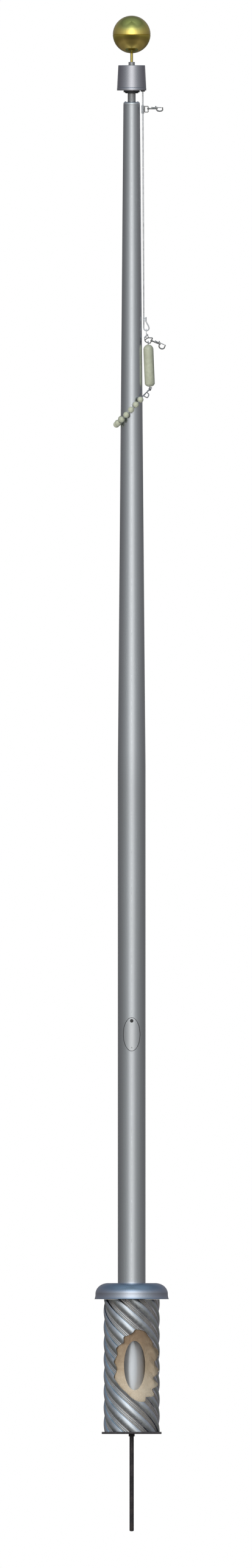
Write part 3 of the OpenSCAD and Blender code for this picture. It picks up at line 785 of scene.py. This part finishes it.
def sleeve_mesh():
    nt, nz = 432, 72
    zs = [-DEPTH + (DEPTH - 0.0005) * i / nz for i in range(nz + 1)]
    verts = []
    for off in (0.0, ST):
        for z in zs:
            tw = 2 * PI * (z + DEPTH) / LEAD
            for k in range(nt):
                a = 2 * PI * k / nt - tw
                r = RO - RIDGE * (1 - rib((N * k / nt) % 1.0)) - off
                verts.append((r * math.cos(a), r * math.sin(a), z))
    faces = []
    m = (nz + 1) * nt
    for i in range(nz):
        for k in range(nt):
            k2 = (k + 1) % nt
            a, b, c, d = i * nt + k, i * nt + k2, (i + 1) * nt + k2, (i + 1) * nt + k
            faces.append((a, b, c, d))
            faces.append((m + d, m + c, m + b, m + a))
    for k in range(nt):
        k2 = (k + 1) % nt
        faces.append((k2, k, m + k, m + k2))
        t = nz * nt
        faces.append((t + k, t + k2, m + t + k2, m + t + k))
    o = new_mesh("sleeve_sheet", verts, faces)
    cut = smooth_path([Vector((x / 1000, 0, z / 1000)) for x, z in WINDOW], 3, True)
    n = len(cut)
    cv = [(p.x, -0.002, p.z) for p in cut] + [(p.x, -0.16, p.z) for p in cut]
    cf = [tuple(range(n)), tuple(range(2 * n - 1, n - 1, -1))]
    cf += [(i, n + i, n + (i + 1) % n, (i + 1) % n) for i in range(n)]
    c = new_mesh("cutter", cv, cf, False)
    bm = bmesh.new()
    bm.from_mesh(c.data)
    bmesh.ops.recalc_face_normals(bm, faces=bm.faces)
    bm.to_mesh(c.data)
    bm.free()
    mod = o.modifiers.new("cut", "BOOLEAN")
    mod.operation = "DIFFERENCE"
    mod.solver = "EXACT"
    mod.object = c
    apply_mods(o)
    bpy.data.objects.remove(c)
    sharpen(o, 45)
    return o


sleeve = sleeve_mesh()
place(sleeve, "pole", "galvanised", M["galvanised"], "ground_sleeve")


# ------------------------------------------------------------------ packed sand, pressed into the ribs where the sleeve is torn open
def sand_mesh():
    nt, nz = 432, 144
    z0, z1 = -DEPTH, -0.008
    verts, faces = [], []
    for i in range(nz + 1):
        z = z0 + (z1 - z0) * i / nz
        tw = 2 * PI * (z + DEPTH) / LEAD
        for k in range(nt):
            a = 2 * PI * k / nt - tw
            d = (math.degrees(a) + 180) % 360 - 180
            w = min(1.0, max(0.0, (d + 52) / 24)) if d < 0 else min(1.0, max(0.0, (28 - d) / 16))
            w = w * w * (3 - 2 * w)
            inner = RO - RIDGE * (1 - rib((N * k / nt) % 1.0)) - ST - 0.00025
            q = Vector((math.cos(a) * 0.117, math.sin(a) * 0.117, z))
            g = 0.45 * noise.noise(q * 60) + 0.35 * noise.noise(q * 210) + 0.25 * noise.noise(q * 620)
            r = 0.1166 + w * max(0.0, inner - 0.1166) + 0.0007 * g - 0.0001
            r = min(r, inner)
            verts.append((r * math.cos(a), r * math.sin(a), z))
    for i in range(nz):
        for k in range(nt):
            k2 = (k + 1) % nt
            faces.append((i * nt + k, i * nt + k2, (i + 1) * nt + k2, (i + 1) * nt + k))
    m = len(verts)
    rb = BUTT + 0.0001
    for z in (z0, z1):
        tw = 2 * PI * (z + DEPTH) / LEAD
        verts += [(rb * math.cos(2 * PI * k / nt - tw), rb * math.sin(2 * PI * k / nt - tw), z) for k in range(nt)]
    for k in range(nt):
        k2 = (k + 1) % nt
        faces.append((m + k, m + k2, k2, k))
        t = nz * nt
        faces.append((t + k, t + k2, m + nt + k2, m + nt + k))
    mid = []
    for i in range(nz + 1):
        z = z0 + (z1 - z0) * i / nz
        tw = 2 * PI * (z + DEPTH) / LEAD
        if i in (0, nz):
            mid.append([m + (nt if i else 0) + k for k in range(nt)])
        elif i % 12 == 0:
            mid.append(list(range(len(verts), len(verts) + nt)))
            verts += [(rb * math.cos(2 * PI * k / nt - tw), rb * math.sin(2 * PI * k / nt - tw), z) for k in range(nt)]
    for lo_, hi_ in zip(mid, mid[1:]):
        for k in range(nt):
            k2 = (k + 1) % nt
            faces.append((lo_[k2], lo_[k], hi_[k], hi_[k2]))
    o = new_mesh("sand_body", verts, faces)
    recalc(o)
    return cut_away(o, oval_cutter(0.0485, 0.113, 0.0133, -0.304, -0.008, -0.138), 50)


place(sand_mesh(), "pole", "dry_sand", M["dry_sand"], "sand_fill")


# ------------------------------------------------------------------ halyard
def mmv(x, y, z):
    return Vector((x / 1000, y / 1000, z / 1000))


lo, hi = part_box("halyard_cable")
CAB = 0.0031
run = [mmv(25.5 + 25.5 * math.cos(math.radians(a)), 0, 5600 + 25.5 * math.sin(math.radians(a))) for a in range(180, -1, -9)]
run += [mmv(51, 0, 5570), mmv(51, 0, 5540), mmv(51.02, 0, 5534), mmv(51.12, 0, 5510)]
run += [mmv(51 + 4.6 * (5535 - z) / 1051, 0, z) for z in range(5460, 4483, -60)] + [mmv(55.6, 0, 4484)]
cable = tube("halyard_rope", resample(run, 0.0042), strand_section(CAB))
place(cable, "truck", "wire_rope", M["wire_rope"], "halyard_cable")
loop_pts = [(55.7, 4483), (55.6, 4474), (55.5, 4464), (55.5, 4453), (57.4, 4446), (61.5, 4441.5), (67.5, 4439.5),
            (73, 4440.5), (77.3, 4444.6), (79.4, 4450.4), (78.4, 4456.8), (74.8, 4464.6), (70.2, 4473), (65.2, 4483)]
loop = tube("halyard_loop", resample(smooth_path([mmv(x, 0, z) for x, z in loop_pts], 6), 0.0022), strand_section(CAB * 0.98))
place(loop, "truck", "wire_rope", M["wire_rope"], "cable_loop")


# crimped ferrule: two pressed bands with a waist between them
def oblong(r, z, n=12):
    out = [mmv(68.5 - r + r * math.cos(math.radians(-90 + 180 * k / n)), r * math.sin(math.radians(-90 + 180 * k / n)), z) for k in range(n + 1)]
    return out + [mmv(51.8 + r + r * math.cos(math.radians(90 + 180 * k / n)), r * math.sin(math.radians(90 + 180 * k / n)), z) for k in range(n + 1)]


steps = [(0, 4.2), (0.5, 4.62), (1.0, 4.7), (3.0, 4.7), (3.5, 4.45), (4.0, 4.7), (6.0, 4.7), (6.6, 4.6), (7.0, 4.2), (7.6, 3.8), (8.6, 3.7), (10.0, 3.7), (11.0, 3.8),
         (11.5, 4.2), (12.0, 4.62), (12.6, 4.7), (14.6, 4.7), (15.1, 4.45), (15.6, 4.7), (17.4, 4.7), (18.0, 4.6), (18.5, 4.2)]
rows = [oblong(r, 4483 + z) for z, r in steps]
n = len(rows[0])
fer = new_mesh("crimped_ferrule", [v for row in rows for v in row],
               [(i * n + k, i * n + (k + 1) % n, (i + 1) * n + (k + 1) % n, (i + 1) * n + k) for i in range(len(rows) - 1) for k in range(n)]
               + [tuple(range(n - 1, -1, -1)), tuple((len(rows) - 1) * n + k for k in range(n))])
recalc(fer)
sharpen(fer, 40)
place(fer, "truck", SLOT["cable_ferrule"], M["wire_rope"], "cable_ferrule")


# ------------------------------------------------------------------ swivel snaps and their eyes
FIT = 0.00006
BV = 0.0051                        # height of the sprung bolt over the shank's axis


def at(T, pts):
    return [T @ Vector(q) for q in pts]


def snap(prefix, T, cx, cz, rx, rz, hook_body, bolt_body):
    lx = lambda v: T @ Vector((v.z, v.y, -v.x))
    u1 = cx - rx + 0.0018
    prof = [(0.0, -0.0046), (0.0030, -0.0046), (0.0036, -0.0042), (0.0037, -0.0036), (0.0034, -0.0029), (0.0024, -0.0027), (0.0024, 0.0026),
            (0.0038, 0.0027), (0.0041, 0.0031), (0.0041, 0.0048), (0.0038, 0.0053), (0.0032, 0.0058), (0.0030, 0.0090), (0.0032, 0.0140),
            (0.0032, u1 - 0.004), (0.0028, u1), (0.0020, u1 + 0.0012), (0.0, u1 + 0.0012)]
    shank = lathe(prefix + "_shank", prof, 40, lx, closed=False)
    a, b = rx - 0.0026, rz - 0.0026
    pts, rad = [], []
    for i in range(49):
        t = math.radians(146 + i * (375 - 146) / 48)
        f = max(0.0, math.sin(PI * i / 48))
        e = 0.0005 * f
        pts.append((cx + (a - e) * math.cos(t), 0, cz + (b - e) * math.sin(t)))
        rad.append(0.0026 + 0.0005 * f)
    tx = cx + a * math.cos(math.radians(15))
    pts += [(tx - 0.0001, 0, BV - 0.0032), (tx - 0.0005, 0, BV - 0.0008), (tx - 0.0009, 0, BV + 0.0004), (tx - 0.00105, 0, BV + 0.0011), (tx - 0.0011, 0, BV + 0.0015)]
    rad += [0.0026, 0.0026, 0.0024, 0.0018, 0.0008]
    bend = tube(prefix + "_bend", at(T, pts), turn_section(rad, 22))
    root = lathe(prefix + "_root", [(0.0031 * math.cos(math.radians(q)), 0.0031 * math.sin(math.radians(q))) for q in range(-90, 91, 10)], 28,
                 lambda v, o=Vector(pts[0]): T @ (v + o + Vector((-0.0004, 0, 0))), closed=False)
    lugs = [root]
    for u in (0.0155, 0.0385):
        # a lug with a round head, bored for the bolt
        out = [(-0.0029, 0.0), (-0.0029, BV)] + [(0.0029 * math.cos(math.radians(q)), BV + 0.0031 * math.sin(math.radians(q))) for q in range(165, 0, -15)] + [(0.0029, BV), (0.0029, 0.0)]
        n = len(out)
        v = [T @ Vector((u, y, z)) for y, z in out] + [T @ Vector((u + 0.004, y, z)) for y, z in out]
        f = [tuple(range(n)), tuple(range(2 * n - 1, n - 1, -1))] + [(i, n + i, n + (i + 1) % n, (i + 1) % n) for i in range(n)]
        lug = new_mesh(prefix + "_lug", v, f)
        recalc(lug)
        c = lathe("bore", [(0.0, u - 0.002), (0.0017 + FIT, u - 0.002), (0.0017 + FIT, u + 0.006), (0.0, u + 0.006)], 32,
                  lambda w: T @ (Vector((w.z, w.y, -w.x)) + Vector((0, 0, BV))), closed=False)
        lugs.append(cut_away(lug, c, 40))
    hook = join(prefix + "_body", [shank, bend] + lugs)
    place(hook, hook_body, SLOT[prefix + "_hook"], M["snap_metal"], prefix + "_hook")
    end = cx + (rx - 0.0026) * math.cos(math.radians(15)) - 0.0044
    up = lambda w: T @ (Vector((w.z, w.y, -w.x)) + Vector((0, 0, BV)))
    pin = lathe(prefix + "_pin", [(0.0, 0.0145), (0.0013, 0.0145), (0.0017, 0.0149), (0.0017, end - 0.0005), (0.0012, end), (0.0, end)], 32, up, closed=False)
    stud = lathe(prefix + "_stud", [(0.0, BV - 0.0002), (0.0015, BV), (0.0012, BV + 0.0022), (0.0016, BV + 0.0030)]
                 + [(0.0027 * math.cos(math.radians(q)), BV + 0.0048 + 0.0027 * math.sin(math.radians(q))) for q in range(-50, 90, 10)] + [(0.0, BV + 0.0075)],
                 28, lambda w: T @ (w + Vector((0.0348, 0, 0))), closed=False)
    place(join(prefix + "_thumb_bolt", [pin, stud]), bolt_body, SLOT[prefix + "_bolt"], M["bolt_metal"], prefix + "_bolt")


def bored_eye(name, T, path, r, node, square=0.0):
    """A bent bar with a boss, and the bore that the hook's pin turns in."""
    if square:
        sec = []
        for k in range(24):
            q = 2 * PI * k / 24
            c_, s_ = math.cos(q), math.sin(q)
            d = (abs(c_) ** 5 + abs(s_) ** 5) ** 0.2
            sec.append((r * c_ / d, r * s_ / d))
        bar = tube(name + "_bar", path, lambda i, s: sec, closed=True)
    else:
        bar = tube(name + "_bar", path, round_section(r, 20), closed=True)
    lx = lambda v: T @ Vector((v.z, v.y, -v.x))
    cut_away(bar, lathe("bore", [(0.0, -0.0042), (0.0030, -0.0042), (0.0030, 0.0042), (0.0, 0.0042)], 40, lx, closed=False), 40)
    boss = ring_solid(name + "_boss", 0.0044, 0.0024 + FIT, -0.0023, 0.0023, T)
    place(join(name, [bar, boss]), "truck", SLOT[node], M["snap_metal"], node)


T_UP = Matrix.Translation(mmv(75.5, 0, 5457))
T_LOW = Matrix.Translation(mmv(90.6, 0, 4393.4)) @ Matrix.Rotation(math.radians(22), 4, "Y")
snap("upper_snap", T_UP, 0.0529, -0.0042, 0.0165, 0.0106, "upper_snap", "upper_bolt")
snap("lower_snap", T_LOW, 0.0539, -0.0064, 0.0159, 0.0140, "lower_snap", "lower_bolt")
rect = at(T_UP, fillet([(-0.016, 0, -0.0156), (0, 0, -0.0156), (0, 0, 0.0108), (-0.016, 0, 0.0108)], 0.0030, 8))
bored_eye("upper_eye_frame", T_UP, resample(rect, 0.0012, True), 0.0022, "upper_snap_eye", 1)
low = fillet([mmv(x, 0, z) for x, z in ((76, 4407), (96, 4406), (90.6, 4393.4), (85, 4381), (66, 4387), (59.5, 4395), (66, 4401))], 0.0034, 8)
bored_eye("lower_eye_frame", T_LOW, resample(low, 0.0010, True), 0.0024, "lower_snap_eye")

# the halyard's hitch: four strands laid round the cable
coils = []
for j in range(4):
    pts, rad = [], []
    for i in range(73):
        z = 5434.5 + 38.5 * i / 72
        t = 2 * PI * (i / 72 * 1.72 + j / 4)
        pts.append(mmv(51 + 4.6 * (5535 - z) / 1051 + 5.0 * math.cos(t), -5.0 * math.sin(t), z))
        rad.append(0.0019 * min(1.0, 0.25 + min(i, 72 - i) / 4))
    coils.append(tube(f"coil_{j}", pts, turn_section(rad, 12)))
place(join("hitch_coils", coils), "truck", SLOT["snap_hitch"], M["wire_rope"], "snap_hitch")

# link under the loop, and the barrel with its two arms
st = [(5.2 * math.cos(math.radians(q)), 4440.3 + 5.2 * math.sin(math.radians(q))) for q in range(0, 181, 12)]
st += [(5.2 * math.cos(math.radians(q)), 4413 + 5.2 * math.sin(math.radians(q))) for q in range(180, 361, 12)]
place(tube("drop_ring", resample([mmv(67.2, y, z) for y, z in st], 0.0016, True), round_section(0.0017, 16), closed=True), "truck",
      SLOT["drop_link"], M["wire_rope"], "drop_link")
place(join("barrel_link", [rod("bb", mmv(73.6, 0, 4423.4), mmv(58.2, 0, 4405.4), 0.0032, 24, 0.0008),
                           rod("ba", mmv(73, 0, 4422.4), mmv(76, 0, 4408.6), 0.0018),
                           rod("bc", mmv(58.8, 0, 4406.4), mmv(59.8, 0, 4396.4), 0.0018)]),
      "truck", SLOT["link_barrel"], M["nickel"], "link_barrel")

# ------------------------------------------------------------------ counterweight and beads
lo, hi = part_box("counterweight")
TILT = math.radians(2.3)
CT = mmv(75.9, 0, 4376)
ROT = Matrix.Rotation(-TILT, 3, "Y")
WR, WL = 0.023, 0.194


def cw(v):
    return CT + ROT @ v


prof = [(WR * math.sin(math.radians(a)), -0.024 + 0.024 * math.cos(math.radians(a))) for a in range(0, 91, 6)]
prof += [(WR, -0.0255), (WR - 0.0005, -0.0262), (WR - 0.0005, -0.0272), (WR, -0.028), (WR, -0.0292), (WR, -0.05)]
prof += [(WR, -WL + 0.045), (WR, -WL + 0.0227), (WR, -WL + 0.0215), (WR - 0.0005, -WL + 0.0207), (WR - 0.0005, -WL + 0.0197), (WR, -WL + 0.019)]
prof += [(WR * math.cos(math.radians(a)), -WL + 0.017 - 0.017 * math.sin(math.radians(a))) for a in range(0, 91, 6)]
weight = lathe("weight_cover", prof, 96, cw, closed=False)
place(weight, "truck", "weight_sleeve", M["weight_sleeve"], "counterweight")

circle = lambda c, r, spin: [cw(Vector((0, 0, c)) + Matrix.Rotation(spin, 3, "Z") @ Vector((0, r * math.cos(2 * PI * k / 40), r * math.sin(2 * PI * k / 40))))
                             for k in range(40)]
place(join("top_eye_bolt", [tube("te", circle(0.0092, 0.0062, 0), round_section(0.0019, 16), closed=True),
                            rod("ts", cw(Vector((0, 0, -0.0005))), cw(Vector((0, 0, 0.0032))), 0.0024, 20, 0.0004)]),
      "truck", SLOT["counterweight_top_eye"], M["nickel"], "counterweight_top_eye")
place(join("bottom_eye_bolt", [tube("be", circle(-WL - 0.010, 0.0068, math.radians(39)), round_section(0.0019, 16), closed=True),
                               rod("bs", cw(Vector((0, 0, -WL - 0.0036))), cw(Vector((0, 0, -WL + 0.0004))), 0.0024, 20, 0.0004)]),
      "truck", SLOT["counterweight_bottom_eye"], M["nickel"], "counterweight_bottom_eye")
CL = [mmv(*q) for q in ((55, -40, 4140), (72, -23, 4131), (80, -7, 4146), (69, -13, 4158))]
TIP = mmv(90.1, 4.3, 4177)
place(join("clip_link", [tube("cl", resample(fillet(CL, 0.0045, 8), 0.0012, True), round_section(0.0023, 18), closed=True),
                         rod("cb", CL[3], TIP, 0.0023, 20), rod("cs", CL[3].lerp(TIP, 0.12), CL[3].lerp(TIP, 0.80), 0.0031, 24, 0.0008),
                         rod("ck", TIP + (CL[3] - TIP).normalized() * 0.0034, TIP - (CL[3] - TIP).normalized() * 0.0034, 0.0034, 24)]),
      "truck", SLOT["ring_clip"], M["nickel"], "ring_clip")

RR, RISE, RZ, BR = 0.0698, 0.0746, 4.0835, 0.0142


def ring_pt(t):
    a = math.radians(t)
    return Vector((RR * math.cos(a), -RR * math.sin(a), RZ + RISE * math.cos(a + math.radians(3))))


def ring_step(t):
    return math.degrees(0.0324 / math.hypot(RR, RISE * math.sin(math.radians(t + 3))))


angles = [55.0]
while len(angles) < 12:
    t = angles[-1]
    angles.append(t + ring_step(t + ring_step(t) / 2))
beads = []
for i, t in enumerate(angles):
    q = (ring_pt(t + 0.5) - ring_pt(t - 0.5)).normalized()
    z = Vector((0, 0, 1))
    rot = z.rotation_difference(q).to_matrix() @ Matrix.Rotation(random.uniform(0, 6.28), 3, "Z")
    c = ring_pt(t)
    h = 0.0024
    a0 = math.degrees(math.acos((h + 0.0012) / BR))
    prof = [(h, BR * math.sin(math.radians(a0)) - 0.0016), (h + 0.0004, BR * math.sin(math.radians(a0)) - 0.0003)]
    prof += arc(0, 0, BR, BR, a0, 2.5, 18) + [(BR - 0.00012, 0.0003), (BR - 0.00012, -0.0003)] + arc(0, 0, BR, BR, -2.5, -a0, 18)
    prof += [(h + 0.0004, -BR * math.sin(math.radians(a0)) + 0.0003), (h, -BR * math.sin(math.radians(a0)) + 0.0016)]
    beads.append(lathe(f"bead_{i}", prof, 40, lambda v, c=c, rot=rot: c + rot @ v))
beads = join("retainer_beads", beads)
place(beads, "truck", "bead_plastic", M["bead_plastic"], "ring_beads")
wire = tube("retainer_wire", [ring_pt(40 + 326 * i / 110) for i in range(111)], strand_section(0.0018, 6, 0.02, 3))
place(wire, "truck", "wire_rope", M["wire_rope"], "ring_wire")


# ------------------------------------------------------------------ stage and light
fl = new_mesh("studio_floor", [(-14, -14, 0), (14, -14, 0), (14, 14, 0), (-14, 14, 0)], [(0, 1, 2, 3)], False)
fl.location.z = cad_box[0][2] - 0.002
fm = Mat("studio_floor", (0.86, 0.86, 0.85), 0.0, 0.9)
nz = fm.noise(fm.mapping(), 0.7, 3, 0.5)
fm.base(fm.ramp(nz, [(0.3, (0.84, 0.84, 0.835)), (0.7, (0.88, 0.88, 0.875))]))
paint(fl, fm.m)
fl.visible_glossy = False


def area(name, loc, look, size, size_y, power, color=(1, 1, 1), spread=PI):
    d = bpy.data.lights.new(name, "AREA")
    d.shape = "RECTANGLE"
    d.size, d.size_y = size, size_y
    d.energy = power
    d.color = color
    d.spread = spread
    o = bpy.data.objects.new(name, d)
    o.location = loc
    o.rotation_euler = (Vector(look) - Vector(loc)).to_track_quat("-Z", "Y").to_euler()
    scene.collection.objects.link(o)
    return o


# a tall soft strip in front of the pole gives the bright line down its middle
for o in (area("key", (-2.2, -4.8, 3.4), (0, 0, 2.4), 1.8, 7.6, 300), area("top", (0, -1.5, 9.5), (0, 0, 3), 4.0, 4.0, 160)):
    o.visible_glossy = False

# sky and ground for reflections: bright at the front horizon, dim elsewhere; the camera sees plain white
w = bpy.data.worlds.new("studio")
scene.world = w
w.use_nodes = True
wt = w.node_tree
wt.nodes.clear()
N_ = wt.nodes.new
out = N_("ShaderNodeOutputWorld")
bg = N_("ShaderNodeBackground")
bgc = N_("ShaderNodeBackground")
mixs = N_("ShaderNodeMixShader")
lp = N_("ShaderNodeLightPath")
tc = N_("ShaderNodeTexCoord")
sep = N_("ShaderNodeSeparateXYZ")
wt.links.new(tc.outputs["Generated"], sep.inputs[0])


def wm(op, a, b=None, c=None):
    x = N_("ShaderNodeMath")
    x.operation = op
    for i, v in enumerate((a, b, c)):
        if v is None:
            continue
        if isinstance(v, (int, float)):
            x.inputs[i].default_value = v
        else:
            wt.links.new(v, x.inputs[i])
    return x.outputs[0]


def wramp(fac, stops):
    x = N_("ShaderNodeValToRGB")
    el = x.color_ramp.elements
    while len(el) < len(stops):
        el.new(0.5)
    for e, (pos, col) in zip(el, stops):
        e.position = pos
        e.color = (*col, 1)
    wt.links.new(fac, x.inputs["Fac"])
    return x.outputs["Color"]


# azimuth: 1 towards the front, 0 to the back; the bright front gives the line down the middle of the pole
hx = wm("MULTIPLY", sep.outputs[0], sep.outputs[0])
hy = wm("MULTIPLY", sep.outputs[1], sep.outputs[1])
hr = wm("MAXIMUM", wm("SQRT", wm("ADD", hx, hy)), 0.0001)
cosaz = wm("DIVIDE", wm("MULTIPLY", sep.outputs[1], -1.0), hr)
u = wm("MULTIPLY_ADD", cosaz, 0.5, 0.5)
horizon = wramp(u, [(0.0, (0.205, 0.20, 0.225)), (0.29, (0.205, 0.20, 0.225)), (0.585, (0.305, 0.30, 0.325)), (0.765, (0.44, 0.45, 0.475)),
                    (0.89, (0.72, 0.735, 0.76)), (0.955, (1.20, 1.20, 1.22)), (0.985, (1.7, 1.7, 1.70)), (1.0, (2.1, 2.1, 2.1))])
# elevation: 0.5 horizon, 1 zenith
h = wm("MULTIPLY_ADD", sep.outputs[2], 0.5, 0.5)
lift = wramp(h, [(0.0, (0, 0, 0)), (0.4985, (0, 0, 0)), (0.5015, (0.80, 0.80, 0.78)), (0.60, (0.98, 0.98, 0.95)), (0.70, (0.85, 0.88, 0.88)),
                 (0.787, (0.58, 0.70, 0.82)), (0.87, (0.26, 0.34, 0.40)), (0.94, (0.08, 0.11, 0.13)), (1.0, (0.0, 0.0, 0.0))])
base = wramp(h, [(0.0, (0.24, 0.235, 0.25)), (0.04, (0.165, 0.157, 0.157)), (0.09, (0.127, 0.119, 0.117)), (0.19, (0.130, 0.120, 0.122)), (0.30, (0.083, 0.077, 0.073)),
                 (0.40, (0.085, 0.085, 0.065)), (0.485, (0.13, 0.13, 0.10)), (0.499, (0.06, 0.06, 0.055)), (0.502, (0.02, 0.02, 0.02)), (0.85, (0.05, 0.07, 0.085)),
                 (1.0, (0.18, 0.26, 0.31))])
# bounce off the pale floor all round, stronger to the front
lowf = wramp(u, [(0.0, (1.3, 1.3, 1.4)), (0.5, (1.6, 1.6, 1.7)), (0.78, (1.9, 1.9, 2.0)), (0.93, (1.3, 1.3, 1.3)), (1.0, (1.0, 1.0, 1.0))])


def wmix(mode, a, b):
    x = N_("ShaderNodeMix")
    x.data_type = "RGBA"
    x.blend_type = mode
    x.inputs[0].default_value = 1.0
    wt.links.new(a, x.inputs[6])
    wt.links.new(b, x.inputs[7])
    return x.outputs[2]


total = wmix("ADD", wmix("MULTIPLY", horizon, lift), wmix("MULTIPLY", base, lowf))
wt.links.new(total, bg.inputs["Color"])
bg.inputs["Strength"].default_value = 1.0
bgc.inputs["Color"].default_value = (1, 1, 1, 1)
bgc.inputs["Strength"].default_value = 1.0
wt.links.new(lp.outputs["Is Camera Ray"], mixs.inputs[0])
wt.links.new(bg.outputs[0], mixs.inputs[1])
wt.links.new(bgc.outputs[0], mixs.inputs[2])
wt.links.new(mixs.outputs[0], out.inputs["Surface"])
